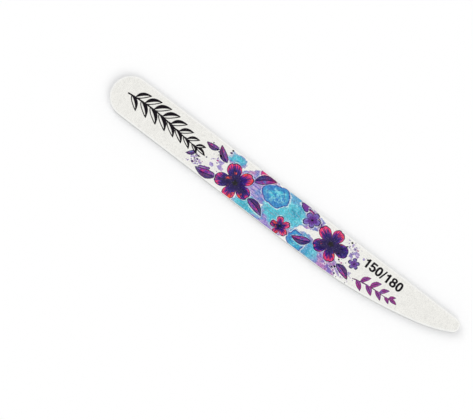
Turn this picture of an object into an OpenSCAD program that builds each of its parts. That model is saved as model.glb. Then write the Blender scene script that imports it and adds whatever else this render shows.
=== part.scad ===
// Nail file cut from a cushioned laminate: a round heel, a straight spine, and a belly that runs
// straight from the heel and then rises in a long curve to a small round nose at the spine.
// The upper face is coated with 150 grit and the lower face with 180 grit.
// The file lies on its 180 face. X runs from heel to nose, Y from belly to spine, and Z up.

/* [Outline] */
// Length from the end of the heel to the end of the nose
file_l = 178; // [165:1:200]
// Width of the straight part, from the belly edge to the spine
file_w = 18.2; // [17:0.1:22]
// Radius of the belly's long curve
belly_r = 225; // [180:5:260]
// Radius of the tighter curve that leads from the belly into the nose
tip_r = 60; // [45:1:80]
// Slope in degrees at which the long curve passes into the tighter one
tip_slope = 13.8; // [10:0.2:15]
// Radius of the nose
nose_r = 3.2; // [2:0.1:4.5]

/* [Abrasive sheets] */
// Thickness of the 150 grit coat, grains and binder together
coat_150_t = 0.14; // [0.1:0.01:0.25]
// Thickness of the 180 grit coat, grains and binder together
coat_180_t = 0.12; // [0.08:0.01:0.2]
// Thickness of the backing paper under either coat
paper_t = 0.2; // [0.12:0.01:0.35]
// Width of the rim from which the cutting blade knocks the grit, so that paper shows
coat_setback = 0.2; // [0:0.05:0.5]

/* [Cushion and core] */
// Thickness of the foam pad on each side of the core
foam_t = 1.06; // [0.6:0.02:1.6]
// Distance by which the foam springs back behind the cut edge
foam_setback = 0.12; // [0:0.02:0.3]
// Thickness of the plastic core board
core_t = 0.9; // [0.5:0.05:1.5]

/* [Adhesive] */
// Thickness of each of the four adhesive films
film_t = 0.08; // [0.04:0.01:0.15]
// Distance from the cut edge to the edge of a film
film_setback = 0.1; // [0:0.02:0.3]

/* [Hidden] */
// Largest gap between a true curve and the straight steps that draw it
curve_gap = 0.005;

// Height of each layer's underside, counted up from the surface that the file lies on
coat_180_z = 0;
paper_180_z = coat_180_z + coat_180_t;
face_film_180_z = paper_180_z + paper_t;
foam_180_z = face_film_180_z + film_t;
core_film_180_z = foam_180_z + foam_t;
core_z = core_film_180_z + film_t;
core_film_150_z = core_z + core_t;
foam_150_z = core_film_150_z + film_t;
face_film_150_z = foam_150_z + foam_t;
paper_150_z = face_film_150_z + film_t;
coat_150_z = paper_150_z + paper_t;

// The edge is a chain of arcs, each tangent to the next. Its slope is the direction of travel:
// -180 degrees where the spine meets the heel, 0 along the belly side, and 180 back on the spine.
// The slope at which the tip curve meets the nose makes the chain's rise equal to the width.
belly_rise = belly_r * (1 - cos(tip_slope));
nose_slope = acos((belly_rise + tip_r * cos(tip_slope) + nose_r - file_w) / (tip_r - nose_r));

function outward(slope) = [sin(slope), -cos(slope)];

heel_r = file_w / 2;
heel_c = [heel_r - file_l / 2, 0];
nose_c = [file_l / 2 - nose_r, file_w / 2 - nose_r];
tip_c = nose_c - (tip_r - nose_r) * outward(nose_slope);
belly_c = tip_c - (belly_r - tip_r) * outward(tip_slope);

// Each arc of the edge: its centre, its radius, and its slope at either end
heel_arc = [heel_c, heel_r, -180, 0];
belly_arc = [belly_c, belly_r, 0, tip_slope];
tip_arc = [tip_c, tip_r, tip_slope, nose_slope];
nose_arc = [nose_c, nose_r, nose_slope, 180];

// Points along an arc drawn inside the edge by the setback, without those before the first wanted
function arc_points(arc, setback, first) =
    let (centre = arc[0], radius = arc[1], sweep = arc[3] - arc[2])
    let (steps = ceil(sweep / (2 * acos(1 - curve_gap / radius))))
    [for (i = [first:steps]) centre + (radius - setback) * outward(arc[2] + sweep * i / steps)];

// Outline of a layer whose edge lies behind the cut edge by the setback
module outline(setback) {
    polygon(concat(
        arc_points(heel_arc, setback, 0),
        arc_points(belly_arc, setback, 0),
        arc_points(tip_arc, setback, 1),
        arc_points(nose_arc, setback, 1)
    ));
}

// One flat layer of the laminate
module layer(underside_z, thickness, setback) {
    translate([0, 0, underside_z])
        linear_extrude(height = thickness)
            outline(setback);
}

module grit_coat_150() {
    color([0.93, 0.93, 0.91])
        layer(coat_150_z, coat_150_t, coat_setback);
}

module backing_paper_150() {
    color([0.96, 0.96, 0.95])
        layer(paper_150_z, paper_t, 0);
}

module face_film_150() {
    color([0.85, 0.85, 0.82])
        layer(face_film_150_z, film_t, film_setback);
}

module foam_pad_150() {
    color([0.94, 0.95, 0.96])
        layer(foam_150_z, foam_t, foam_setback);
}

module core_film_150() {
    color([0.85, 0.85, 0.82])
        layer(core_film_150_z, film_t, film_setback);
}

module core_board() {
    color([0.9, 0.91, 0.92])
        layer(core_z, core_t, 0);
}

module core_film_180() {
    color([0.85, 0.85, 0.82])
        layer(core_film_180_z, film_t, film_setback);
}

module foam_pad_180() {
    color([0.94, 0.95, 0.96])
        layer(foam_180_z, foam_t, foam_setback);
}

module face_film_180() {
    color([0.85, 0.85, 0.82])
        layer(face_film_180_z, film_t, film_setback);
}

module backing_paper_180() {
    color([0.96, 0.96, 0.95])
        layer(paper_180_z, paper_t, 0);
}

module grit_coat_180() {
    color([0.93, 0.93, 0.91])
        layer(coat_180_z, coat_180_t, coat_setback);
}

grit_coat_150();
backing_paper_150();
face_film_150();
foam_pad_150();
core_film_150();
core_board();
core_film_180();
foam_pad_180();
face_film_180();
backing_paper_180();
grit_coat_180();
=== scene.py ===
"""Nail file: a cushioned board with a printed 150 grit face and a plain 180 grit face.

Each layer of the laminate is a piece of its own. The scene takes the places and sizes of the layers
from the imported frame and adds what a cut, coated and printed sheet shows: grains, cells, pressed
edges and ink. Every length is in metres unless its name or its description says otherwise.
"""

import math
from functools import cached_property
from types import SimpleNamespace
import bpy
import numpy as np
from bpy.props import FloatProperty, FloatVectorProperty, IntProperty, PointerProperty
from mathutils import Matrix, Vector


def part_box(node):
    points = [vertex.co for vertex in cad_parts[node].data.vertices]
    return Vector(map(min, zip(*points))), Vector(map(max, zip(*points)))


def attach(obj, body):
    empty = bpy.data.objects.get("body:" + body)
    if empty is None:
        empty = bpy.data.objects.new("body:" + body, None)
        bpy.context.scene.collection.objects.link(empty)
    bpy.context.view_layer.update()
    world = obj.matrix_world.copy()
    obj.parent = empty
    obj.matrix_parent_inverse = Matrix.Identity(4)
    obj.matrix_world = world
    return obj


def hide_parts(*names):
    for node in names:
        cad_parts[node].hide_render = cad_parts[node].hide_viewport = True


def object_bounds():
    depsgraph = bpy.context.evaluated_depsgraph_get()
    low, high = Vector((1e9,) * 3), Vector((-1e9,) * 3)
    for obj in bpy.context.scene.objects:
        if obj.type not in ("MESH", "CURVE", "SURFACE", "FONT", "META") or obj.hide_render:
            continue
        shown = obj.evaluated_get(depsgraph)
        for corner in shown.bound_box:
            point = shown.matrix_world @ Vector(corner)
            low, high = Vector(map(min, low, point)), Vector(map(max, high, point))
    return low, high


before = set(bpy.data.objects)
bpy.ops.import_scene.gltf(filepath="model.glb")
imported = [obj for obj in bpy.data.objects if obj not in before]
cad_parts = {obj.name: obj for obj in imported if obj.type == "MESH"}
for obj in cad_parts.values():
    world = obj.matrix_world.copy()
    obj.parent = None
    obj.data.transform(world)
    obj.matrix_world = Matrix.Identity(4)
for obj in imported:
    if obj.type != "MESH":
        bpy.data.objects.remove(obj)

bl_info = {
    "name": "Cushioned Nail File",
    "version": (1, 0, 0),
    "blender": (4, 5, 0),
    "location": "View3D > Sidebar > Nail File",
    "description": "Builds a cushioned nail file layer by layer around its packed frame",
    "category": "Add Mesh",
}

MM = 0.001
BODY = "root"
GRITS = ("150", "180")
CAD_BOX = [list(corner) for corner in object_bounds()]
PAPER_LOW, PAPER_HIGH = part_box("backing_paper_150")
CORE_LOW, CORE_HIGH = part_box("core_board")
FILE_LENGTH = PAPER_HIGH.x - PAPER_LOW.x
FILE_WIDTH = PAPER_HIGH.y - PAPER_LOW.y
FILE_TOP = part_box("grit_coat_150")[1].z


def millimetres(name, description, default):
    """A length property whose default is given in millimetres."""
    return FloatProperty(name=name, description=description, default=default * MM, unit="LENGTH")


def degrees(name, description, default):
    """An angle property whose default is given in degrees."""
    radians = math.radians(default)
    return FloatProperty(name=name, description=description, default=radians, subtype="ANGLE")


def portion(name, description, default):
    """A property that is a share of a whole."""
    limits = {"min": 0, "max": 1, "subtype": "FACTOR"}
    return FloatProperty(name=name, description=description, default=default, **limits)


def colour(name, description, *levels):
    """A colour property whose red, green and blue are given as the eye reads them, from 0 to 255."""
    light = [as_light(level) for level in levels]
    limits = {"min": 0, "max": 1, "subtype": "COLOR"}
    return FloatVectorProperty(name=name, description=description, default=light, size=3, **limits)


def as_light(level):
    """The share of light that an sRGB level from 0 to 255 stands for."""
    share = level / 255
    if share <= 0.04045:
        return share / 12.92
    return ((share + 0.055) / 1.055) ** 2.4


class OutlineSizes(bpy.types.PropertyGroup):
    """Sizes of the cut edge, seen from above."""

    length: millimetres("Length", "From the end of the heel to the end of the nose", FILE_LENGTH / MM)
    width: millimetres("Width", "From the belly edge to the spine", FILE_WIDTH / MM)
    belly_radius: millimetres("Belly radius", "Radius of the belly's long curve", 225)
    tip_radius: millimetres("Tip radius", "Radius of the curve from the belly into the nose", 60)
    tip_slope: degrees("Tip slope", "Slope at which the belly's curve passes into the tip's", 13.8)
    nose_radius: millimetres("Nose radius", "Radius of the nose", 3.2)


class EdgeSizes(bpy.types.PropertyGroup):
    """What the cutting blade leaves at the edge of the layers."""

    step: millimetres("Step", "Distance between points along the edge of a layer", 0.25)
    press_depth: millimetres("Press depth", "How far the printed face is bent down at its edge", 0.16)
    lift_depth: millimetres("Lift depth", "How far the lower face rises at its edge", 0.06)
    press_width: millimetres("Press width", "Width of the border that the blade bends", 1.1)
    foam_hollow: millimetres("Foam hollow", "How far a foam pad draws in between its glued faces", 0.07)
    foam_step: millimetres("Foam step", "Distance between points along the edge of a foam pad", 0.11)
    cell_size: millimetres("Cell size", "Width of an opened foam cell", 0.2)
    cell_depth: millimetres("Cell depth", "Depth of an opened foam cell", 0.07)


class GritSizes(bpy.types.PropertyGroup):
    """Sizes of the two abrasive coats."""

    pitch: millimetres("Pitch", "Distance between points on the printed coat", 0.212)
    plain_pitch: millimetres("Plain pitch", "Distance between points on the plain coat", 0.3)
    relief: millimetres("Relief", "Height of the unevenness of the binder over the grains", 0.035)
    grain_150: millimetres("150 grain", "Mean width of a grain that stands out of the 150 coat", 0.15)
    grain_180: millimetres("180 grain", "Mean width of a grain that stands out of the 180 coat", 0.125)
    grains: IntProperty(
        name="Grains", description="Number of grains that stand out of each coat", default=24000
    )
    seed: IntProperty(name="Seed", description="Seed of the scatter of grains", default=7)


class Inks(bpy.types.PropertyGroup):
    """Colours of the coats, the layers and the printed inks."""

    coat: colour("Coat", "White binder and grains", 241, 240, 235)
    # Rim: a painted highlight laid along the pressed border of each coat
    rim: colour("Rim", "Pressed border of a coat", 249, 249, 247)
    paper: colour("Paper", "Backing paper", 240, 240, 237)
    glue: colour("Glue", "Adhesive film", 210, 209, 199)
    foam: colour("Foam", "Cushion foam", 202, 204, 208)
    core: colour("Core", "Core board", 226, 229, 232)
    aqua: colour("Aqua", "Palest turquoise, in the wash and the blue blots", 150, 228, 232)
    turquoise: colour("Turquoise", "Light part of the turquoise wash and the blue blots", 76, 197, 214)
    teal: colour("Teal", "Deep part of the turquoise wash", 24, 146, 176)
    blue: colour("Blue", "Blue blots, and blue tints in the washes and leaves", 58, 128, 194)
    lilac: colour("Lilac", "Light part of the lilac wash and the sprays", 188, 164, 212)
    mauve: colour("Mauve", "Deep part of the lilac wash, and tints in the motifs", 132, 114, 194)
    pale: colour("Pale wash", "Thin places in the washes", 206, 196, 236)
    violet: colour("Violet", "Violet blots, and deep in sprays and mauve blossoms", 108, 54, 148)
    ultramarine: colour("Ultramarine", "Outlines of the blue blots, deep in the leaves", 52, 34, 144)
    indigo: colour("Indigo", "Hearts of the petals, and outlines of petals and leaves", 28, 6, 74)
    plum: colour("Plum", "Outline of the branch", 84, 8, 86)
    magenta: colour("Magenta", "The branch, and the middle of the petals", 162, 34, 128)
    pink: colour("Pink", "Lights in the petals", 255, 132, 172)
    coral: colour("Coral", "Tips of the petals, and the coral blots", 246, 62, 106)
    orange: colour("Orange", "Warm patches in the petals", 232, 78, 50)
    ink: colour("Ink", "Near-black ink of the sprig, the numbers and some specks", 10, 5, 14)


class StageSizes(bpy.types.PropertyGroup):
    """The floor, the lamps and the camera."""

    floor: millimetres("Floor", "Length and width of the floor", 30000)
    world_light: portion("World light", "Share of the light that comes evenly from all sides", 0.6)
    near_light: portion("Near light", "Share of the light from the lamp below the picture", 0.23)
    far_light: portion("Far light", "Share of the light from the lamp above the picture", 0.17)
    lamp_spread: degrees("Lamp spread", "Angle that each lamp spans, seen from the floor", 46)
    lamp_tilt: degrees("Lamp tilt", "Angle of each lamp from straight overhead", 36)
    lamp_bearing: degrees("Lamp bearing", "Angle from the picture's right to the near lamp", -60)
    turn: degrees("Turn", "Angle by which the camera is turned about the vertical", 37.65)
    lean: degrees("Lean", "Angle by which the camera leans back from straight overhead", 7.5)
    seen_width: millimetres("Seen width", "Width that the picture spans at the printed face", 198.6)
    shift_right: millimetres("Shift right", "Picture's middle, right of the file's middle", -18.68)
    shift_up: millimetres("Shift up", "Picture's middle, above the file's middle", 0.48)
    distance: millimetres("Distance", "Distance of the camera from the printed face", 900)


# Outline


def outward(slope):
    """The direction that points away from the file where the edge has this slope."""
    return np.stack([np.sin(slope), -np.cos(slope)], axis=-1)


class Edge:
    """The cut edge seen from above: tangent arcs and two straight lines, walked anticlockwise.

    It starts where the spine meets the heel, with a slope of minus half a turn, and has a slope of
    zero along the belly's straight part. Its parts are numbered in that order.
    """

    ARC_PARTS = (0, 2, 3, 4)
    BELLY_LINE = 1
    SPINE_LINE = 5

    def __init__(self, sizes):
        length, width, tip_slope = sizes.length, sizes.width, sizes.tip_slope
        nose_r, tip_r, belly_r = sizes.nose_radius, sizes.tip_radius, sizes.belly_radius
        self.half = width / 2
        rise = belly_r * (1 - math.cos(tip_slope)) + tip_r * math.cos(tip_slope)
        nose_slope = math.acos((rise + nose_r - width) / (tip_r - nose_r))
        self.heel = np.array([self.half - length / 2, 0])
        self.nose = np.array([length / 2 - nose_r, self.half - nose_r])
        tip = self.nose - (tip_r - nose_r) * outward(nose_slope)
        self.belly = tip - (belly_r - tip_r) * outward(tip_slope)
        self.arcs = [
            (self.heel, self.half, -math.pi, 0),
            (self.belly, belly_r, 0, tip_slope),
            (tip, tip_r, tip_slope, nose_slope),
            (self.nose, nose_r, nose_slope, math.pi),
        ]
        lengths = [radius * (end - start) for _, radius, start, end in self.arcs]
        lengths.insert(self.BELLY_LINE, self.belly[0] - self.heel[0])
        lengths.append(self.nose[0] - self.heel[0])
        self.marks = np.concatenate([[0], np.cumsum(lengths)])
        self.around = self.marks[-1]

    def at_slope(self, arc, slope):
        """How far along the edge an arc reaches this slope."""
        _, radius, start, _ = self.arcs[arc]
        return self.marks[self.ARC_PARTS[arc]] + radius * (slope - start)

    def walk(self, distance, setback=0.0):
        """Points this far along the edge, drawn in by the setback, and their outward directions."""
        distance = np.mod(np.asarray(distance, float), self.around)
        part = np.clip(np.searchsorted(self.marks, distance, side="right") - 1, 0, self.SPINE_LINE)
        gone = distance - self.marks[part]
        points, facing = np.zeros((2, len(distance), 2))
        belly, spine = (self.heel[0], -self.half, 1), (self.nose[0], self.half, -1)
        for number, (x, y, way) in {self.BELLY_LINE: belly, self.SPINE_LINE: spine}.items():
            on = part == number
            points[on] = np.stack([x + way * gone[on], np.full(on.sum(), y)], axis=-1)
            facing[on] = (0, -way)
        for number, (centre, radius, start, _) in zip(self.ARC_PARTS, self.arcs):
            on = part == number
            facing[on] = outward(start + gone[on] / radius)
            points[on] = centre + radius * facing[on]
        return points - setback * facing, facing

    def depth(self, points):
        """How far inside the cut edge each point lies."""
        slack = 1e-9
        x, y = points[..., 0], points[..., 1]
        best = np.where((x >= self.heel[0]) & (x <= self.nose[0]), self.half - y, np.inf)
        on_belly = (x >= self.heel[0]) & (x <= self.belly[0])
        best = np.minimum(best, np.where(on_belly, self.half + y, np.inf))
        for centre, radius, start, end in self.arcs:
            slope = np.arctan2(x - centre[0], centre[1] - y)
            slope = np.where((slope > end + slack) & (start < 0), slope - 2 * math.pi, slope)
            within = (slope >= start - slack) & (slope <= end + slack)
            gap = radius - np.hypot(x - centre[0], y - centre[1])
            best = np.minimum(best, np.where(within, gap, np.inf))
        return best


def pressed(height, depth, sizes):
    """Heights of points at these depths inside the edge, after the blade has bent the border."""
    near = np.clip(1 - depth / sizes.press_width, 0, 1) ** 2
    upper = np.clip((height - CORE_HIGH.z) / (FILE_TOP - CORE_HIGH.z), 0, 1)
    lower = np.clip((CORE_LOW.z - height) / CORE_LOW.z, 0, 1)
    return height + near * (lower * sizes.lift_depth - upper * sizes.press_depth)


# Node trees


class Term:
    """A value that nodes work out, written in a formula as a number would be."""

    def __init__(self, tree, socket):
        self.tree, self.socket = tree, socket

    def math(self, operation, *others, clamp=False):
        """What an operation makes of this value and others."""
        node = self.tree.nodes.new("ShaderNodeMath")
        node.operation = operation
        node.use_clamp = clamp
        for place, value in enumerate((self, *others)):
            feed(self.tree, node.inputs[place], value)
        return Term(self.tree, node.outputs[0])

    def __add__(self, other):
        return self.math("ADD", other)

    def __sub__(self, other):
        return self.math("SUBTRACT", other)

    def __rsub__(self, other):
        return self.math("MULTIPLY_ADD", -1.0, other)

    def __mul__(self, other):
        return self.math("MULTIPLY", other)

    def __truediv__(self, other):
        return self.math("DIVIDE", other)

    def __rtruediv__(self, other):
        return (self ** -1.0) * other

    def __pow__(self, other):
        return self.math("POWER", other)

    __radd__ = __add__
    __rmul__ = __mul__

    def limited(self):
        """The value, kept between 0 and 1."""
        return self.math("ADD", 0.0, clamp=True)


def feed(tree, socket, value):
    """Joins a term or a socket to an input, or sets the input to a plain value."""
    if isinstance(value, Term):
        tree.links.new(value.socket, socket)
    elif isinstance(value, bpy.types.NodeSocket):
        tree.links.new(value, socket)
    else:
        socket.default_value = value


def named(sockets, key):
    """The first usable socket of this name, or the one at this place."""
    if isinstance(key, int):
        return sockets[key]
    return next(socket for socket in sockets if socket.name == key and socket.enabled)


def add(tree, kind, inputs=None, output=0, **settings):
    """Adds a node with these settings and inputs, and returns one of its outputs as a term."""
    node = tree.nodes.new(kind)
    for name, value in settings.items():
        setattr(node, name, value)
    for key, value in (inputs or {}).items():
        feed(tree, named(node.inputs, key), value)
    return Term(tree, named(node.outputs, output))


def combine(tree, x, y, z):
    return add(tree, "ShaderNodeCombineXYZ", {"X": x, "Y": y, "Z": z})


def split(vector):
    node = vector.tree.nodes.new("ShaderNodeSeparateXYZ")
    feed(vector.tree, node.inputs[0], vector)
    return [Term(vector.tree, output) for output in node.outputs]


def scaled(vector, scale):
    inputs = {0: vector, "Scale": scale}
    return add(vector.tree, "ShaderNodeVectorMath", inputs, "Vector", operation="SCALE")


def summed(first, second):
    inputs = {0: first, 1: second}
    return add(first.tree, "ShaderNodeVectorMath", inputs, "Vector", operation="ADD")


INPUT_KINDS = {
    "material": "NodeSocketMaterial",
    "seed": "NodeSocketInt",
    "steps_up": "NodeSocketInt",
}


def label(name):
    """A name from this script in plain words, as it heads a tree or an input."""
    return name.replace("_", " ").capitalize()


def geometry_tree(name, *inputs):
    """A Geometry Nodes tree and its named inputs, numbers unless INPUT_KINDS says otherwise."""
    tree = bpy.data.node_groups.new(name, "GeometryNodeTree")
    for way in ("OUTPUT", "INPUT"):
        tree.interface.new_socket(name="Geometry", in_out=way, socket_type="NodeSocketGeometry")
    for key in inputs:
        kind = INPUT_KINDS.get(key, "NodeSocketFloat")
        tree.interface.new_socket(name=label(key), in_out="INPUT", socket_type=kind)
    sockets = tree.nodes.new("NodeGroupInput").outputs
    terms = {key: Term(tree, sockets[label(key)]) for key in ("geometry", *inputs)}
    return tree, SimpleNamespace(**terms)


def end_tree(tree, geometry, material):
    """Ends a tree in Realize Instances and Set Material."""
    real = add(tree, "GeometryNodeRealizeInstances", {"Geometry": geometry})
    dressed = add(tree, "GeometryNodeSetMaterial", {"Geometry": real, "Material": material})
    feed(tree, tree.nodes.new("NodeGroupOutput").inputs["Geometry"], dressed)
    return tree


def run_tree(thing, build, values):
    """Runs the tree that a function builds on an object, and keeps the result as its plain mesh."""
    name = label(build.__name__)
    tree = bpy.data.node_groups.get(name) or build(name)
    modifier = thing.modifiers.new(name, "NODES")
    modifier.node_group = tree
    inputs = [item for item in tree.interface.items_tree if item.in_out == "INPUT"]
    identifiers = {item.name: item.identifier for item in inputs}
    for key, value in values.items():
        modifier[identifiers[label(key)]] = value
    graph = bpy.context.evaluated_depsgraph_get()
    made = bpy.data.meshes.new_from_object(
        thing.evaluated_get(graph), preserve_all_data_layers=True, depsgraph=graph
    )
    thing.modifiers.remove(modifier)
    old = thing.data
    thing.data = made
    made.name = thing.name
    bpy.data.meshes.remove(old)


def new_object(name, data):
    thing = bpy.data.objects.new(name, data)
    bpy.context.scene.collection.objects.link(thing)
    return thing


# Steps across the border of a layer's upper or lower face, and how they crowd to its edge. Gap
# that is welded shut. How steeply an opened cell falls to its middle.
RIM_STEPS = 4
RIM_CROWDING = 1.6
WELD = 0.0005 * MM
CELL_FALL = 1.35


def laminate_layer(name):
    """Sweeps the cut side of a layer round the outline's points and closes it above and below."""
    tree, given = geometry_tree(
        name, "underside", "thickness", "setback", "rim", "corner", "hollow", "mark_depth",
        "mark_width", "mark_height", "cell_depth", "cell_size", "steps_up", "press_depth",
        "lift_depth", "press_width", "core_underside", "core_top", "file_top", "material",
    )
    outline = given.geometry
    count = add(tree, "GeometryNodeAttributeDomainSize", {"Geometry": outline}, "Point Count")
    position = add(tree, "GeometryNodeInputPosition")
    outward_name = {"Name": "outward"}
    vectors = {"data_type": "FLOAT_VECTOR"}
    facing = add(tree, "GeometryNodeInputNamedAttribute", outward_name, "Attribute", **vectors)
    index = add(tree, "GeometryNodeInputIndex", output="Index")

    def on_outline(value, number):
        """The value at the outline's point of this number."""
        inputs = {"Geometry": outline, "Value": value, "Index": number}
        return add(tree, "GeometryNodeSampleIndex", inputs, domain="POINT", **vectors)

    def place(around, up):
        """Position of the point at this number round the edge and this share of the way up."""
        number = around.math("MODULO", count)
        foot, away = on_outline(position, number), on_outline(facing, number)
        part = RIM_STEPS / given.steps_up
        below = (1 - up / part).limited()
        above = (1 - (1 - up) / part).limited()
        inner = below.math("MAXIMUM", above)
        share = ((up - part) / (1 - 2 * part)).limited()
        share = 0.5 - 0.5 * (share * math.pi).math("COSINE")
        height = share * given.thickness
        near = height.math("MINIMUM", given.thickness - height)
        bend = (1 - near / given.corner).limited()
        rounding = given.corner * (1 - (1 - bend * bend).math("SQRT"))
        bow = 4 * share * (1 - share) * given.hollow
        x, y, _ = split(foot)
        width, cell = given.mark_width, given.cell_size
        stretched = combine(tree, x / width, y / width, height / given.mark_height)
        wear = add(tree, "ShaderNodeTexNoise", {"Vector": stretched, "Scale": 1.0, "Detail": 2.0})
        cells = combine(tree, x / cell, y / cell, (height + given.underside) / cell)
        opened = add(tree, "ShaderNodeTexVoronoi", {"Vector": cells, "Scale": 1.0}, "Distance")
        pit = (1 - opened * CELL_FALL).limited() * given.cell_depth
        marks = (wear - 0.5) * 2 * given.mark_depth + pit
        depth = given.setback + given.rim * inner ** RIM_CROWDING + rounding
        depth = depth + (bow + marks) * (1 - inner)
        z = given.underside + height
        border = (1 - depth / given.press_width).limited() ** 2
        upper = ((z - given.core_top) / (given.file_top - given.core_top)).limited()
        lower = ((given.core_underside - z) / given.core_underside).limited()
        z = z + border * (lower * given.lift_depth - upper * given.press_depth)
        return summed(summed(foot, scaled(away, depth * -1.0)), combine(tree, 0.0, 0.0, z))

    def moved(mesh, target):
        return add(tree, "GeometryNodeSetPosition", {"Geometry": mesh, "Position": target})

    rows = given.steps_up + 1
    size = {"Size X": 1.0, "Size Y": 1.0, "Vertices X": count + 1, "Vertices Y": rows}
    side = add(tree, "GeometryNodeMeshGrid", size, "Mesh")
    column = ((index + 0.5) / rows).math("FLOOR")
    side = moved(side, place(column, (index - column * rows) / given.steps_up))
    round_face = {"Vertices": count, "Radius": 1.0}
    lids = []
    for up in (0.0, 1.0):
        lid = add(tree, "GeometryNodeMeshCircle", round_face, "Mesh", fill_type="NGON")
        lids.append(moved(lid, place(index + 0.0, index * 0.0 + up)))
    lids[0] = add(tree, "GeometryNodeFlipFaces", {"Mesh": lids[0]}, "Mesh")
    joined = tree.nodes.new("GeometryNodeJoinGeometry")
    for part in (*reversed(lids), side):
        tree.links.new(part.socket, joined.inputs[0])
    welded = {"Geometry": joined.outputs[0], "Distance": WELD}
    whole = add(tree, "GeometryNodeMergeByDistance", welded)
    smooth = add(tree, "GeometryNodeSetShadeSmooth", {"Geometry": whole, "Shade Smooth": True})
    return end_tree(tree, smooth, given.material)


def read(items, field, kind=float, width=1):
    """A value, or a row of values, from each item of a mesh."""
    values = np.zeros(len(items) * width, kind)
    items.foreach_get(field, values)
    return values.reshape(-1, width) if width > 1 else values


def store(mesh, name, values):
    """Writes three values for each point onto a mesh."""
    attribute = mesh.attributes.new(name, "FLOAT_VECTOR", "POINT")
    attribute.data.foreach_set("vector", np.ravel(values))


def outline_points(edge, step):
    """A mesh of points along the cut edge, each with the direction that faces away from the file."""
    count = round(edge.around / step)
    walked = edge.walk(np.arange(count) * edge.around / count)
    points, facing = (np.column_stack([values, np.zeros(count)]) for values in walked)
    mesh = bpy.data.meshes.new("outline")
    mesh.from_pydata(points.tolist(), [], [])
    store(mesh, "outward", facing)
    return mesh


def add_layer(name, node, finish, slot, step, steps_up, **cut_side):
    """Builds the layer that stands for a CAD node.

    The sizes of its cut side, in metres, go to the tree's inputs of the same names.
    """
    scene = bpy.context.scene
    edge, bend = Edge(scene.nail_file_outline), scene.nail_file_edge
    low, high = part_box(node)
    values = {
        "underside": low.z,
        "thickness": high.z - low.z,
        "setback": max(0.0, (FILE_WIDTH - high.y + low.y) / 2),
        "rim": 1.3 * MM,
        "hollow": 0.0,
        "cell_depth": 0.0,
        "cell_size": 1 * MM,
        "steps_up": steps_up,
        "press_depth": bend.press_depth,
        "lift_depth": bend.lift_depth,
        "press_width": bend.press_width,
        "core_underside": CORE_LOW.z,
        "core_top": CORE_HIGH.z,
        "file_top": FILE_TOP,
        "material": finished(finish),
    }
    piece = new_object(name, outline_points(edge, step))
    run_tree(piece, laminate_layer, {**values, **cut_side})
    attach(piece, BODY)
    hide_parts(node)
    return piece


# Abrasive sheets

# Slopes, in half turns, at which the corners of a sheet's grid lie on the round heel and nose
HEEL_CORNERS = (-0.25, -0.75)
NOSE_CORNERS = (0.3, 0.78)
HEEL_ARC = 0
NOSE_ARC = 3

# Least and greatest measure of a grain, as shares of the mean width
GRAIN_MEASURES = (0.6, 1.4)


def graded(length, pitch, first=0.04 * MM, growth=1.45):
    """Shares of a length, close together by both ends and a pitch apart between them."""
    near = []
    size = first
    while size < pitch:
        near.append(size)
        size *= growth
    middle = length - 2 * sum(near)
    count = math.ceil(middle / pitch)
    steps = near + [middle / count] * count + near[::-1]
    return np.concatenate([[0], np.cumsum(steps)]) / length


def sheet_grid(edge, setback, pitch):
    """Rows and columns of points that fill the outline, with the grid's border on its edge."""
    heel_low, heel_high = (edge.at_slope(HEEL_ARC, slope * math.pi) for slope in HEEL_CORNERS)
    nose_low, nose_high = (edge.at_slope(NOSE_ARC, slope * math.pi) for slope in NOSE_CORNERS)
    along = graded(nose_low - heel_low, pitch)
    across = graded(2 * edge.half, pitch)
    spine = heel_high + edge.around - nose_high
    low = edge.walk(heel_low + along * (nose_low - heel_low), setback)[0]
    high = edge.walk(heel_high - along * spine, setback)[0]
    left = edge.walk(heel_low + across * (heel_high - heel_low), setback)[0]
    right = edge.walk(nose_low + across * (nose_high - nose_low), setback)[0]
    u, v = along[:, None, None], across[None, :, None]
    blend = (1 - v) * low[:, None] + v * high[:, None] + (1 - u) * left[None] + u * right[None]
    corners = (1 - u) * ((1 - v) * low[0] + v * high[0]) + u * ((1 - v) * low[-1] + v * high[-1])
    return blend - corners


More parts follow.
